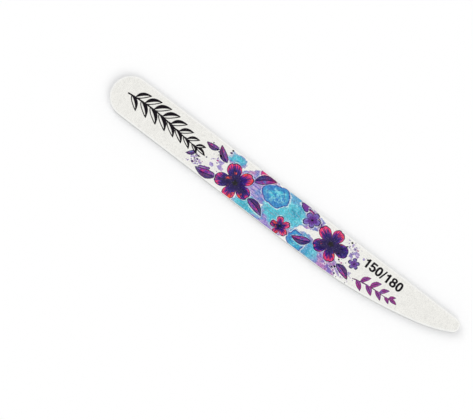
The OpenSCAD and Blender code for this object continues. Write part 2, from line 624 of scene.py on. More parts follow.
def sheet_mesh(name, grid, face_z, back_z, edge, bend):
    """A closed sheet over the grid, with its gritty side at one height and its back at another.

    The border of the gritty side rolls over. The back keeps few of the grid's rows, in long strips.
    """
    columns, rows = grid.shape[:2]
    roll, roll_width, strips = 0.05 * MM, 0.16 * MM, 12
    toward = math.copysign(1, back_z - face_z)
    inside = np.maximum(edge.depth(grid), 0)
    from_rim = inside - inside.min()
    rolled = roll * np.clip(1 - from_rim / roll_width, 0, 1) ** 2
    face = np.dstack([grid, pressed(face_z + toward * rolled, inside, bend)]).reshape(-1, 3)
    back = np.dstack([grid, pressed(np.full(inside.shape, back_z), inside, bend)]).reshape(-1, 3)
    number = np.arange(columns * rows).reshape(columns, rows)
    corners = [number[:-1, :-1], number[1:, :-1], number[1:, 1:], number[:-1, 1:]]
    faces = np.stack(corners, axis=-1).reshape(-1, 4).tolist()
    rim = np.concatenate([number[:, 0], number[-1, 1:], number[-2::-1, -1], number[0, -2:0:-1]])
    by_rim = {1, 3, 5, rows - 6, rows - 4, rows - 2, rows - 1}
    kept = sorted({*range(0, rows, max(1, rows // strips)), *by_rim})
    wanted = np.zeros((columns, rows), bool)
    wanted[:, kept] = True
    wanted[[0, -1]] = True
    chosen = np.flatnonzero(wanted)
    below = np.full(columns * rows, -1)
    below[chosen] = len(face) + np.arange(len(chosen))
    faces += [(below[one], below[two], two, one) for one, two in zip(rim, np.roll(rim, -1))]
    below = below.reshape(columns, rows)

    def between(column, start, end):
        """Points of a column from one kept row to the next, with those between them on the rim."""
        on_rim = column in (0, columns - 1)
        return below[column, start : end + 1] if on_rim else below[column, [start, end]]

    for start, end in zip(kept, kept[1:]):
        for column in range(columns - 1):
            second = between(column + 1, start, end)
            faces.append([*between(column, start, end), *second[::-1]])
    way = -1 if toward > 0 else 1
    faces = [[int(corner) for corner in corners[::way]] for corners in faces]
    mesh = bpy.data.meshes.new(name)
    mesh.from_pydata(np.concatenate([face, back[chosen]]).tolist(), [], faces)
    mesh.shade_smooth()
    return mesh


def fold_map(mesh):
    """Lays the sheet's map out from above, folded into rows so that it fills the square."""
    rows, margin, filled = 3, 0.4 * MM, 0.94
    span = FILE_LENGTH / rows + 2 * margin
    strip = filled / rows
    points = read(mesh.vertices, "co", width=3)[read(mesh.loops, "vertex_index", int)]
    x, y = points[:, 0] - PAPER_LOW.x, points[:, 1] - PAPER_LOW.y
    totals = read(mesh.polygons, "loop_total", int)
    middle = np.add.reduceat(x, read(mesh.polygons, "loop_start", int)) / totals
    row = np.repeat(np.clip(np.floor(middle / (FILE_LENGTH / rows)), 0, rows - 1), totals)
    u = (x - row * FILE_LENGTH / rows + margin) / span
    v = (row + 0.5) / rows + (y / FILE_WIDTH - 0.5) * strip
    layer = mesh.uv_layers.new(name="OFBake")
    layer.data.foreach_set("uv", np.stack([u, v], axis=-1).ravel())


def upright(given):
    """How far a sheet faces the side that its grit is on."""
    normal = add(given.geometry.tree, "GeometryNodeInputNormal", output="Normal")
    return split(normal)[2] * given.face_sign


def grit_relief(name):
    """Makes the gritty side of a sheet uneven, inwards from its face."""
    tree, given = geometry_tree(name, "relief", "bump_width", "face_sign", "material")
    spread = scaled(add(tree, "GeometryNodeInputPosition"), 1 / given.bump_width)
    waves = add(tree, "ShaderNodeTexNoise", {"Vector": spread, "Scale": 1.0, "Detail": 1.0})
    facing = ((upright(given) - 0.6) * 4).limited()
    lift = (waves - 0.7).math("MINIMUM", 0.0) * given.relief * 2 * facing * given.face_sign
    inputs = {"Geometry": given.geometry, "Offset": combine(tree, 0.0, 0.0, lift)}
    return end_tree(tree, add(tree, "GeometryNodeSetPosition", inputs), given.material)


def abrasive_grains(name):
    """Scatters sharp grains over the gritty side of a sheet. Each keeps the print under it."""
    tree, given = geometry_tree(
        name, "grains_per_area", "grain_width", "sink", "face_sign", "seed", "material"
    )

    def drawn(low, high, seed):
        """Three random values for each grain."""
        inputs = {"Min": (low,) * 3, "Max": (high,) * 3, "Seed": seed}
        return add(tree, "FunctionNodeRandomValue", inputs, "Value", data_type="FLOAT_VECTOR")

    inputs = {
        "Mesh": given.geometry,
        "Selection": upright(given).math("GREATER_THAN", 0.8),
        "Density": given.grains_per_area,
        "Seed": given.seed,
    }
    points = add(
        tree, "GeometryNodeDistributePointsOnFaces", inputs, "Points", distribute_method="RANDOM"
    )
    sink = combine(tree, 0.0, 0.0, given.sink * given.face_sign * -1.0)
    points = add(tree, "GeometryNodeSetPosition", {"Geometry": points, "Offset": sink})
    crystal = {"Segments": 4, "Rings": 2, "Radius": 0.5}
    inputs = {
        "Points": points,
        "Instance": add(tree, "GeometryNodeMeshUVSphere", crystal, "Mesh"),
        "Rotation": drawn(0.0, math.tau, given.seed),
        "Scale": scaled(drawn(*GRAIN_MEASURES, given.seed + 1), given.grain_width),
    }
    return end_tree(tree, add(tree, "GeometryNodeInstanceOnPoints", inputs), given.material)


# Print. Places and sizes are in millimetres from the middle of the file, x runs to the nose, and
# turns are in radians.

# Start and end, sway and half width of the stem, pairs of leaves, and the leaves' length, their
# width as a share of it, and their lean
SPRIG = ((-82.0, 0.6), (-44.5, 0.6), 0.9, 0.34, 8, 8.8, 0.36, 0.72)
BRANCH = ((40.8, -4.3), (58.8, -1.5), 0.5, 0.26, 4, 5.8, 0.44, 0.82)

# Middle, reach of the petals, turn, height as a share of the width, and tone: mauve from 2 up
BLOSSOMS = [
    ((-22.5, -2.4), 9.4, 0.35, 0.92, 1.2),
    ((25.0, 1.6), 9.2, -0.5, 0.9, 1.45),
    ((3.4, -5.4), 4.7, 0.2, 0.95, 0.9),
    ((12.8, 4.9), 4.0, 0.8, 0.95, 2.6),
    ((37.8, 0.9), 2.9, 0.1, 0.95, 2.6),
]

# Base, length, width and turn
LEAVES = [
    ((-30.4, 2.4), 8.0, 3.3, 2.5),
    ((-30.6, -5.0), 10.0, 3.9, 3.35),
    ((-16.6, 3.2), 9.6, 4.1, 0.6),
    ((-14.4, -4.2), 9.4, 3.8, -0.3),
    ((17.8, 5.0), 9.4, 3.9, 2.8),
    ((31.8, -3.4), 8.2, 3.4, -0.35),
    ((17.6, -2.6), 8.6, 3.6, 3.5),
    ((-36.4, 4.9), 6.4, 2.7, 3.2),
    ((-43.8, -1.6), 4.6, 2.0, 3.9),
]

# Middle, half length and half width, turn, and seed of the uneven outline
BLUE_BLOTS = [((-5.6, 4.0), (6.4, 4.6), 0.2, 3), ((12.2, -6.0), (4.6, 3.4), -0.3, 4)]
VIOLET_BLOTS = [((-36.6, -5.8), (2.5, 1.8), 0.4, 8), ((7.6, 7.9), (2.6, 1.6), 0.1, 9)]
CORAL_BLOTS = [((-12.6, 8.6), (4.0, 2.8), 0.0, 12)]
TURQUOISE_WASH = [
    ((1.0, 1.6), (9.6, 8.4), 0.1, 21),
    ((15.5, -5.4), (7.6, 4.4), -0.1, 22),
    ((-13.0, -6.8), (7.0, 3.6), 0.12, 23),
    ((-27.5, 5.8), (4.6, 2.8), 0.1, 24),
]
LILAC_WASH = [
    ((-13.0, 3.0), (9.0, 7.0), 0.2, 31),
    ((11.0, 4.6), (7.6, 4.0), 0.1, 32),
    ((25.5, -5.8), (8.4, 4.2), -0.1, 33),
    ((-1.5, -6.4), (9.6, 4.2), 0.0, 34),
]
SPRAYS = [
    ((32.5, -6.0), (7.0, 3.4), 0.1, 41),
    ((34.5, 4.6), (4.6, 2.6), -0.3, 42),
    ((-33.0, -0.6), (3.8, 2.8), 0.0, 43),
    ((-42.5, -4.6), (3.2, 2.2), 0.0, 44),
]

# Middle, spread along and across, number of specks, and seed
SPLASHES = [
    ((34.0, 1.0), (5.0, 5.5), 40, 51),
    ((31.0, -6.0), (6.0, 2.4), 24, 52),
    ((-34.5, 4.5), (4.0, 3.5), 28, 53),
    ((-41.0, -4.0), (3.4, 3.5), 22, 54),
]

# Grit numbers, their middle and their height, and the room that a sign takes as a share of it
NUMBERS = ("150/180", (50.35, 4.75), 3.86)
NUMBER_STEP = 0.78
SLASH_STEP = 0.4

# Depth that stands for a place far outside a motif, and colour of the gap round a motif
FAR = -5.0
BARE = (0.87, 0.86, 0.84)

PETALS = 5

# Angle through which a stem's wave runs from its start to its end
STEM_WAVE = 4.6


def local(x, y, at, turn):
    """Coordinates about a place, along and across a direction."""
    dx, dy = x - at[0], y - at[1]
    along = dx * math.cos(turn) + dy * math.sin(turn)
    return along, dy * math.cos(turn) - dx * math.sin(turn)


def blob(x, y, at, size, turn, seed, ripple):
    """Depth inside a blob of paint with an uneven outline."""
    along, across = local(x, y, at, turn)
    angle = np.arctan2(across / size[1], along / size[0])
    draw = np.random.default_rng(seed)
    reach = np.ones_like(angle)
    for waves in range(2, 9):
        height = ripple * draw.uniform(0.3, 1) / math.sqrt(waves)
        reach += height * np.cos(waves * angle + draw.uniform(0, math.tau))
    return (reach - np.hypot(along / size[0], across / size[1])) * min(size)


def blobs(x, y, places, ripple=0.09):
    """Depth inside any of several blobs."""
    return np.max([blob(x, y, *place, ripple) for place in places], axis=0)


def leaf(x, y, base, length, width, turn):
    """Depth inside a leaf, share of its length, and share of the way from midrib to margin.

    It bends a little to one side and is widest before its middle.
    """
    along, across = local(x, y, base, turn)
    share = np.clip(along / length, 0, 1)
    across = across - 0.08 * length * np.sin(math.pi * share)
    half = width / 2 * np.sin(math.pi * share ** 0.8) ** 0.8
    beyond = np.maximum(-along, along - length)
    depth = np.where(beyond > 0, -np.hypot(beyond, across), half - np.abs(across))
    return [depth, share, np.clip(across / np.maximum(half, 0.05), -2, 2)]


def blossom(x, y, at, reach, turn, squash, tone):
    """Depth inside a blossom, shares of a petal's length and half width, and its tone.

    The petals differ in length and tone, and each has a small notch in its end.
    """
    along, across = local(x, y, at, turn)
    across = across / squash
    angle = np.mod(np.arctan2(across, along), math.tau) * PETALS / math.tau
    petal = np.floor(angle).astype(int) % PETALS
    side = np.abs(2 * (angle - np.floor(angle)) - 1)
    draw = np.random.default_rng(int(reach * 10))
    lengths = draw.uniform(0.86, 1.04, PETALS)
    tones = tone + draw.uniform(-0.42, 0.42, PETALS)
    notch = 0.05 * np.exp(-((side / 0.12) ** 2))
    profile = 0.36 + 0.64 * np.cos(side * math.pi / 2) ** 0.5 - notch
    limit = reach * lengths[petal] * profile
    distance = np.hypot(along, across)
    return (limit - distance) * 0.8, np.clip(distance / limit, 0, 2), side, tones[petal]


def overlay(painted, layer):
    """Puts a motif over what is painted, wherever it is the deeper of the two."""
    over = layer[0] > painted[0]
    return [np.where(over, new, old) for new, old in zip(layer, painted)]


def twig(x, y, start, end, sway, stem, pairs, size, slim, spread):
    """A stem with pairs of leaves, painted as a leaf is.

    The leaves are longest in its lower half, lean in more towards its tip, and end in a small one.
    """
    start, end = np.array(start), np.array(end)
    turn = math.atan2(*(end - start)[::-1])
    length = math.hypot(*(end - start))
    aside = np.array((-math.sin(turn), math.cos(turn)))
    along, across = local(x, y, start, turn)
    share = np.clip(along / length, 0, 1)
    across = np.abs(across - sway * np.sin(share * STEM_WAVE))
    beyond = np.maximum(-along, along - length)
    depth = np.where(beyond > 0, -np.maximum(beyond, across), stem * (1 - 0.4 * share) - across)
    painted = [depth, np.zeros_like(x), np.zeros_like(x)]

    def on_stem(place):
        return start + place * (end - start) + sway * math.sin(STEM_WAVE * place) * aside

    for number in range(pairs):
        place = (number + 0.6) / pairs
        grown = size * (0.72 + 0.28 * math.sin(math.pi * place)) * (1.05 - 0.35 * place)
        for way in (1, -1):
            lean = turn + way * (1 - 0.28 * place) * spread
            base = on_stem(place + 0.9 * way / length)
            painted = overlay(painted, leaf(x, y, base, grown, slim * grown, lean))
    return overlay(painted, leaf(x, y, on_stem(0.99), 0.6 * size, 0.6 * slim * size, turn - 0.15))


def line_drawn(painted, line=0.4):
    """Depth inside the ink of leaves that are open on one side of the midrib and full on the other."""
    depth, _, side = painted
    return np.minimum(depth, np.maximum(line - depth, 1.3 * side + 0.15))


def splashes(x, y, keep):
    """Depth inside a third of the specks, most of them small; keep says which third."""
    depth = np.full_like(x, FAR)
    for at, size, count, seed in SPLASHES:
        draw = np.random.default_rng(seed)
        places = draw.normal(0, 0.5, (count, 2)) * size + at
        widths = 0.16 + 0.42 * draw.random(count) ** 3
        for place, width in zip(places[keep::3], widths[keep::3]):
            depth = np.maximum(depth, width - np.hypot(x - place[0], (y - place[1]) * 1.2))
    return depth


def oval(u, v, size, power=2.3):
    """Depth inside an oval with slightly full shoulders."""
    reach = (np.abs(u / size[0]) ** power + np.abs(v / size[1]) ** power) ** (1 / power)
    return (1 - reach) * min(size)


def ring(u, v, middle, size, thick):
    """Depth inside an oval ring that is thick at the sides and thinner above and below."""
    inner = (size[0] - thick[0], size[1] - thick[1])
    return np.minimum(oval(u, v - middle, size), -oval(u, v - middle, inner))


def bar(u, v, start, end, thick):
    """Depth inside a straight bar with square ends."""
    length = math.hypot(end[0] - start[0], end[1] - start[1])
    along, across = local(u, v, start, math.atan2(end[1] - start[1], end[0] - start[0]))
    return np.minimum(thick / 2 - np.abs(across), np.minimum(along, length - along))


def numeral(u, v, sign):
    """Depth inside a bold numeral, or otherwise a slash, one unit high."""
    if sign == "0":
        return ring(u, v, 0, (0.365, 0.53), (0.24, 0.2))
    if sign == "1":
        flag = bar(u, v, (0.1, 0.41), (-0.24, 0.22), 0.19)
        return np.maximum(bar(u, v, (0.08, -0.52), (0.08, 0.52), 0.24), flag)
    if sign == "5":
        bowl = ring(u, v, -0.175, (0.365, 0.355), (0.235, 0.195))
        mouth = np.minimum(-0.04 - u, 0.085 - np.abs(v + 0.165))
        stem = bar(u, v, (-0.19, 0.52), (-0.25, -0.06), 0.2)
        top = bar(u, v, (-0.27, 0.425), (0.31, 0.425), 0.19)
        return np.maximum(np.maximum(stem, top), np.minimum(bowl, -mouth))
    if sign == "8":
        upper = ring(u, v, 0.25, (0.33, 0.28), (0.22, 0.175))
        return np.maximum(upper, ring(u, v, -0.205, (0.37, 0.325), (0.235, 0.19)))
    return bar(u, v, (-0.15, -0.54), (0.15, 0.54), 0.17)


def numerals(x, y, text, at, height):
    """Depth inside a line of bold numerals, centred on a place."""
    steps = [SLASH_STEP if sign == "/" else NUMBER_STEP for sign in text]
    reached = -sum(steps) / 2
    depth = np.full_like(x, FAR)
    for sign, step in zip(text, steps):
        u = (x - at[0]) / height - reached - step / 2
        depth = np.maximum(depth, numeral(u, (y - at[1]) / height, sign) * height)
        reached += step
    return depth


def print_marks(points):
    """What is printed at each point, as depths inside each kind of ink in millimetres."""
    x, y = points[:, 0] / MM, points[:, 1] / MM
    none = np.zeros_like(x)
    leaves = [none + FAR, none, none]
    petals = [none + FAR, none, none, none]
    for place in LEAVES:
        leaves = overlay(leaves, leaf(x, y, *place))
    for place in BLOSSOMS:
        petals = overlay(petals, blossom(x, y, *place))
    violet = np.maximum(blobs(x, y, VIOLET_BLOTS, ripple=0.16), splashes(x, y, 1))
    coral = np.maximum(blobs(x, y, CORAL_BLOTS), splashes(x, y, 2))
    ink = np.maximum(line_drawn(twig(x, y, *SPRIG)), splashes(x, y, 0))
    ink = np.maximum(ink, numerals(x, y, *NUMBERS))
    marks = {
        "washes": [blobs(x, y, TURQUOISE_WASH), blobs(x, y, LILAC_WASH), coral],
        "blots": [blobs(x, y, BLUE_BLOTS), violet, petals[3]],
        "petals": petals[:3],
        "leaves": leaves,
        "branch": twig(x, y, *BRANCH),
        "ink": [ink, blobs(x, y, SPRAYS), none],
    }
    return {name: np.maximum(np.stack(kinds, axis=-1), FAR) for name, kinds in marks.items()}


# Materials


def mix(tree, share, first, second, blend="MIX"):
    """Mixes two colours, given as terms or plain colours."""
    node = tree.nodes.new("ShaderNodeMix")
    node.data_type = "RGBA"
    node.blend_type = blend
    node.clamp_factor = True
    feed(tree, named(node.inputs, "Factor"), share)
    for key, value in (("A", first), ("B", second)):
        feed(tree, named(node.inputs, key), value if isinstance(value, Term) else (*value, 1.0))
    return Term(tree, named(node.outputs, "Result"))


def ramp(value, low, high, full=1.0, start=0.0):
    """Start below one bound, full above the other, and an even curve between."""
    inputs = {"Value": value, "From Min": low, "From Max": high, "To Min": start, "To Max": full}
    return add(value.tree, "ShaderNodeMapRange", inputs, "Result", interpolation_type="SMOOTHSTEP")


def fade(value, low, high, full=1.0):
    """Full below one bound, 0 above the other, and an even curve between."""
    return ramp(value, low, high, 0.0, full)


def shade(tint, share):
    """A colour with this many times its light, up to full."""
    return [min(1, level * share) for level in tint]


class Finish:
    """A material in the making, named after the function that dresses it."""

    def __init__(self, name):
        self.inks = bpy.context.scene.nail_file_inks
        self.material = bpy.data.materials.new(name)
        self.material.use_nodes = True
        self.tree = self.material.node_tree
        self.tree.nodes.clear()
        self.shader = self.tree.nodes.new("ShaderNodeBsdfPrincipled")
        output = self.tree.nodes.new("ShaderNodeOutputMaterial")
        self.tree.links.new(self.shader.outputs[0], output.inputs["Surface"])

    @cached_property
    def place(self):
        """Place on the object, in millimetres."""
        return scaled(add(self.tree, "ShaderNodeTexCoord", output="Object"), 1 / MM)

    def drawn_out(self, scale, turn=0.0):
        """The place, turned and scaled so that a pattern on it is drawn out."""
        inputs = {"Vector": self.place, "Rotation": (0.0, 0.0, turn), "Scale": scale}
        return add(self.tree, "ShaderNodeMapping", inputs)

    def noise(self, width, detail=2.0, roughness=0.5, place=None):
        """Noise from 0 to 1 whose waves are about this many millimetres wide."""
        inputs = {"Scale": 1 / width, "Detail": detail, "Roughness": roughness}
        inputs["Vector"] = place or self.place
        return add(self.tree, "ShaderNodeTexNoise", inputs)

    def cells(self, width, output="Distance", feature="F1"):
        """Uneven cells of about this many millimetres."""
        inputs = {"Vector": self.place, "Scale": 1 / width}
        return add(self.tree, "ShaderNodeTexVoronoi", inputs, output, feature=feature)

    def printed(self, name):
        """The three values of a printed attribute."""
        node = add(self.tree, "ShaderNodeAttribute", output="Vector", attribute_name=name)
        return split(node)

    def laid(self, tint, *coats):
        """A colour with others laid over it, each given as its share and the colour."""
        for share, pigment in coats:
            tint = mix(self.tree, share, tint, pigment)
        return tint

    def dress(self, tint, roughness, specular=0.5, relief=None):
        """Sets the shader. A relief is given as its pattern, height in millimetres and strength."""
        values = {"Base Color": tint, "Roughness": roughness, "Specular IOR Level": specular}
        if relief:
            inputs = dict(zip(("Height", "Distance", "Strength"), relief))
            inputs["Distance"] *= MM
            values["Normal"] = add(self.tree, "ShaderNodeBump", inputs, "Normal")
        for name, value in values.items():
            feed(self.tree, self.shader.inputs[name], value)


def finished(dress):
    """The material that a function dresses, made on first use."""
    material = bpy.data.materials.get(dress.__name__)
    if material is None:
        finish = Finish(dress.__name__)
        dress(finish)
        material = finish.material
    return material


def bare_coat(coat):
    """Colour of the unprinted coat, white with paler and darker grains and a painted highlight along
    its edge, and a number for each grain.
    """
    white = coat.inks.coat
    mottle = 0.5 * coat.noise(2.6, 3.0) + 0.5 * coat.noise(0.7)
    grain = split(coat.cells(0.17, "Color"))[0]
    # Painted highlight: the coat is whitened towards the rim colour within about a millimetre of its
    # cut edge
    depth = coat.printed("rim")[0] + (coat.noise(0.5) - 0.5) * 0.5
    tint = coat.laid(
        shade(white, 0.93),
        (ramp(mottle, 0.34, 0.6), white),
        (ramp(grain, 0.5, 1.0, 0.6), shade(white, 1.12)),
        (fade(grain, 0.0, 0.3, 0.55), shade(white, 0.72)),
        (fade(depth, 0.35, 1.0, 0.85), coat.inks.rim),
    )
    return tint, grain


class Painting:
    """The colour of a coat as its inks are laid, one over the other, and how much of it is inked."""

    def __init__(self, coat, tint):
        self.coat, self.tint, self.cover = coat, tint, None
        self.uneven = (coat.noise(2.4) - 0.5) * 1.6

    def ink(self, share, pigment):
        """Lays an ink over this share of the coat."""
        self.tint = self.coat.laid(self.tint, (share, pigment))
        self.cover = self.cover.math("MAXIMUM", share) if self.cover else share

    def motif(self, edge, pigment, line, width, strength=0.97):
        """Lays a motif with a bare gap round it and a line along its edge."""
        gap = ramp(edge + self.uneven, -0.36, -0.2, 0.5) * fade(edge, -0.1, 0.1)
        self.tint = self.coat.laid(self.tint, (gap, BARE))
        pigment = self.coat.laid(pigment, (fade(edge, width - 0.1, width + 0.12), line))
        self.ink(ramp(edge, -0.05, 0.05, strength), pigment)


def printed_colour(coat):
    """Colour of the printed coat, worked up wash by wash as the inks lie."""
    tree, inks = coat.tree, coat.inks
    bare, grain = bare_coat(coat)
    painting = Painting(coat, bare)
    fine = (coat.noise(0.3, 1.0) - 0.5) * 0.34
    wander = (coat.noise(1.1, 3.0, 0.6) - 0.5) * 1.3
    rough = fine + (grain - 0.5) * 0.12
    pool = coat.noise(4.6, 5.0, 0.62)
    cloud = coat.noise(11.0, 3.0)
    mottle = coat.noise(1.6, 4.0, 0.7)
    grainy = coat.noise(0.75, 2.0, 0.75)
    brushed = coat.drawn_out((0.22, 1.9, 1.0), turn=0.5)
    streak = coat.noise(1.0, 3.0, 0.65, brushed)
    scratch = coat.noise(0.3, 2.0, 0.6, brushed)
    turquoise, lilac, coral = coat.printed("washes")
    blue, violet, tone = coat.printed("blots")
    ink, spray, _ = coat.printed("ink")

    # Washes that run into each other, thin where the brush was dry
    cool = turquoise + wander * 1.5 + rough
    edge = cool.math("MAXIMUM", lilac + wander * 1.5 + rough)
    deep = pool * 0.5 + streak * 0.25 + mottle * 0.25
    wet = coat.laid(
        inks.teal,
        (ramp(deep, 0.38, 0.52), inks.turquoise),
        (ramp(deep, 0.51, 0.62, 0.8), inks.aqua),
        (fade(streak, 0.34, 0.5, 0.45), inks.teal),
        (ramp(cloud, 0.52, 0.64, 0.6), inks.blue),
    )
    pigment = coat.laid(
        inks.lilac,
        (ramp(streak, 0.4, 0.6), inks.mauve),
        (ramp(cloud, 0.52, 0.64, 0.3), inks.coral),
        (ramp(pool, 0.5, 0.62, 0.7), inks.blue),
        (ramp(cool + (pool - 0.5) * 3.0, -0.7, 1.2), wet),
        (fade(edge, 0.0, 0.45, 0.5), inks.blue),
        (ramp(grainy, 0.54, 0.68, 0.35), inks.ultramarine),
        (fade(grainy, 0.3, 0.44, 0.4), inks.pale),
    )
    worn = 0.7 + ramp(streak, 0.3, 0.55, 0.2) + ramp(scratch, 0.34, 0.5, 0.1)
    painting.ink(ramp(edge, -0.1, 0.14) * worn, pigment)

    # Sprays of loose specks
    edge = spray.math("MINIMUM", 1.0) * 0.5 + (coat.noise(1.7, 4.0, 0.62) - 0.57) * 7.0
    pigment = coat.laid(
        inks.lilac,
        (ramp(pool, 0.4, 0.56), inks.mauve),
        (ramp(streak, 0.5, 0.62), inks.violet),
        (fade(edge, 0.1, 0.35, 0.7), inks.violet),
    )
    painting.ink(ramp(edge, -0.05, 0.1, 0.85), pigment)

    # Blue blots, with a tide line where the paint dried
    edge = blue + wander * 0.7 + rough
    tide = fade((edge - 1.8 - wander * 1.6).math("ABSOLUTE"), 0.08, 0.32)
    pigment = coat.laid(
        inks.blue,
        (ramp(pool, 0.42, 0.6), inks.turquoise),
        (ramp(mottle, 0.48, 0.62, 0.7), inks.aqua),
        (fade(edge + wander, 0.2, 2.2, 0.8), inks.blue),
        (tide * ramp(pool, 0.42, 0.52, 0.6), inks.ultramarine),
    )
    painting.motif(edge, pigment, inks.ultramarine, 0.28 + wander * 0.25)

    # Coral blots
    edge = coral + wander * 0.5 + rough
    pigment = coat.laid(inks.coral, (ramp(pool, 0.45, 0.6, 0.5), inks.magenta))
    painting.motif(edge, pigment, inks.magenta, 0.35, 0.92)

    # Violet blots
    edge = violet + wander * 0.5 + rough * 0.6
    pigment = coat.laid(
        inks.violet,
        (ramp(pool, 0.44, 0.6, 0.6), inks.mauve),
        (ramp(mottle, 0.5, 0.62, 0.5), inks.magenta),
    )
    painting.motif(edge, pigment, inks.indigo, 0.3)

    # The branch, with a dark midrib in each leaf
    depth, _, side = coat.printed("branch")
    edge = depth + wander * 0.3 + rough * 0.7
    pigment = coat.laid(
        inks.magenta,
        (ramp(streak, 0.42, 0.6, 0.7), inks.violet),
        (ramp(mottle, 0.5, 0.64, 0.5), inks.mauve),
        (fade(side.math("ABSOLUTE"), 0.06, 0.2), inks.indigo),
    )
    painting.motif(edge, pigment, inks.plum, 0.2)

    # Leaves, with a dark midrib and one half darker than the other
    depth, share, side = coat.printed("leaves")
    edge = depth + wander * 0.3 + rough * 0.7
    line = coat.noise(1 / 1.6, place=combine(tree, share * 2.5, side * 7.0, 0.0))
    pigment = coat.laid(
        inks.ultramarine,
        (ramp(line, 0.46, 0.6), inks.mauve),
        (ramp(line + share * 0.12, 0.58, 0.66), inks.coral),
        (ramp(pool, 0.5, 0.62, 0.6), inks.blue),
        (ramp(side, 0.0, 0.25, 0.7), inks.indigo),
        (fade(side.math("ABSOLUTE"), 0.08, 0.2), inks.indigo),
    )
    painting.motif(edge, pigment, inks.indigo, 0.34 + wander * 0.15)

    # Petals, warm or mauve by their tone, with dark hearts, veins and margins
    depth, share, side = coat.printed("petals")
    edge = depth + wander * 0.35 + rough * 0.7
    mauve = ramp(tone, 1.9, 2.0)
    line = coat.noise(1 / 1.5, place=combine(tree, share * 1.6, side * 6.0, tone * 9.0)) - 0.5
    reach = share + line * 1.1 - tone * 0.42
    soft = coat.laid(inks.violet, (ramp(share + line * 0.8, 0.4, 0.8), inks.mauve))
    veins = ramp((side * 17 + wander * 1.2).math("SINE"), 0.3, 0.8, 0.85) * fade(share, 0.72, 1.0)
    pigment = coat.laid(
        inks.magenta,
        (ramp(reach, 0.26, 0.44), inks.coral),
        (ramp(reach + mottle * 0.4, 0.72, 0.86), inks.pink),
        (fade(reach, 0.16, 0.36), inks.ultramarine),
        (fade(reach, -0.14, 0.24), inks.indigo),
        (ramp(pool + wander * 0.1, 0.56, 0.62) * ramp(share, 0.35, 0.5), inks.orange),
        (mauve, soft),
        (veins * (1 - mauve * 0.6), inks.indigo),
        (ramp(side + wander * 0.05, 0.82, 0.92, 0.9), inks.indigo),
        (fade(share + wander * 0.08, 0.12, 0.2), inks.ink),
    )
    painting.motif(edge, pigment, inks.indigo, 0.36 + wander * 0.15, 0.98)

    # Near-black ink, then the speckle of the grit and a few bare grains over all of the inks
    lettered = ramp(ink + fine * 0.5, -0.08, 0.04)
    painting.ink(lettered, inks.ink)
    strength = 0.2 + 1.2 * painting.cover
    speckle = 1 + (coat.noise(0.6, 2.0, 0.8) - 0.5) * strength
    grey = combine(tree, speckle, speckle, speckle)
    flecks = ramp(grain, 0.95, 0.98, 0.14) * (1 - lettered * 0.7)
    return coat.laid(mix(tree, 1.0, painting.tint, grey, "MULTIPLY"), (flecks, inks.coat))


def dress_coat(coat, tint, grain_width=None):
    """Gives a coat its colour and sheen and, on the sheet itself, the bumps of its grains."""
    relief = (1 - coat.cells(grain_width), 0.05, 0.8) if grain_width else None
    coat.dress(tint, 0.74 + 0.2 * coat.noise(0.4, 1.0), 0.14, relief)


def printed_coat(coat):
    dress_coat(coat, printed_colour(coat), 0.15)


def printed_grains(coat):
    dress_coat(coat, printed_colour(coat))


def plain_coat(coat):
    dress_coat(coat, bare_coat(coat)[0], 0.12)


def plain_grains(coat):
    dress_coat(coat, bare_coat(coat)[0])


def fibrous_paper(paper):
    """White backing paper with long fibres."""
    white = paper.inks.paper
    fibre = paper.noise(0.12, 3.0, 0.7, paper.drawn_out((1.0, 1.0, 5.0)))
    tint = paper.laid(shade(white, 0.86), (ramp(fibre, 0.3, 0.62), white))
    paper.dress(tint, 0.8 + 0.15 * fibre, 0.3, (fibre, 0.02, 0.6))


def adhesive(glue):
    """Pale adhesive, glossier where it was squeezed out."""
    pale = glue.inks.glue
    bead = glue.noise(0.8)
    tint = glue.laid(shade(pale, 0.84), (ramp(bead, 0.35, 0.65), pale))
    glue.dress(tint, 0.28 + 0.3 * bead, relief=(glue.noise(0.2), 0.01, 0.5))


def cushion_foam(foam):
    """Light grey closed-cell foam, with painted light on its cut walls and painted shade in its opened
    cells.
    """
    grey = foam.inks.foam
    size = bpy.context.scene.nail_file_edge.cell_size / MM
    wall, small = (foam.cells(width, feature="DISTANCE_TO_EDGE") for width in (size, size / 2.7))
    # Painted light and shade: lighter by the walls of the cells, darker towards the middle of each
    # opened cell
    middle = foam.cells(size)
    tint = foam.laid(
        grey,
        (ramp(wall, 0.0, 0.2), shade(grey, 0.88)),
        (fade(small, 0.02, 0.1, 0.3), grey),
        (fade(middle, 0.05, 0.4, 0.7), shade(grey, 0.66)),
    )
    hollow = fade(wall, 0.0, 0.3) + small * 0.3
    foam.dress(tint, 0.86 + 0.1 * middle, 0.2, (hollow, 0.05, 0.8))


def board_plastic(board):
    """White plastic board, with the fine upright marks of the blade on its cut side."""
    white = board.inks.core
    marks = board.noise(0.16, 4.0, 0.7, board.drawn_out((1.0, 1.0, 0.07)))
    cover = ramp(marks, 0.36, 0.6, 0.7) + 0.3 * board.noise(5.0)
    tint = board.laid(shade(white, 0.84), (cover, white))
    board.dress(tint, 0.3 + 0.3 * marks, relief=(marks, 0.04, 0.8))


def floor_paint(floor):
    """Matt grey that lights the file from below, and is plain white to the camera."""
    grey, white = (0.86, 0.86, 0.86), (1.0, 1.0, 1.0)
    floor.dress(mix(floor.tree, seen_by_lens(floor.tree), grey, white), 1.0, 0.0)


# Operators


class NAILFILE_OT_core(bpy.types.Operator):
    """Build the plastic core board"""

    bl_idname = "nail_file.core"
    bl_label = "Core Board"
    bl_options = {"REGISTER", "UNDO"}

    def execute(self, context):
        step = context.scene.nail_file_edge.step
        marks = {"mark_depth": 0.008 * MM, "mark_width": 0.35 * MM, "mark_height": 3 * MM}
        add_layer(
            "stiff_core", "core_board", board_plastic, "core_plastic", step, 18,
            corner=0.06 * MM, **marks,
        )
        return {"FINISHED"}


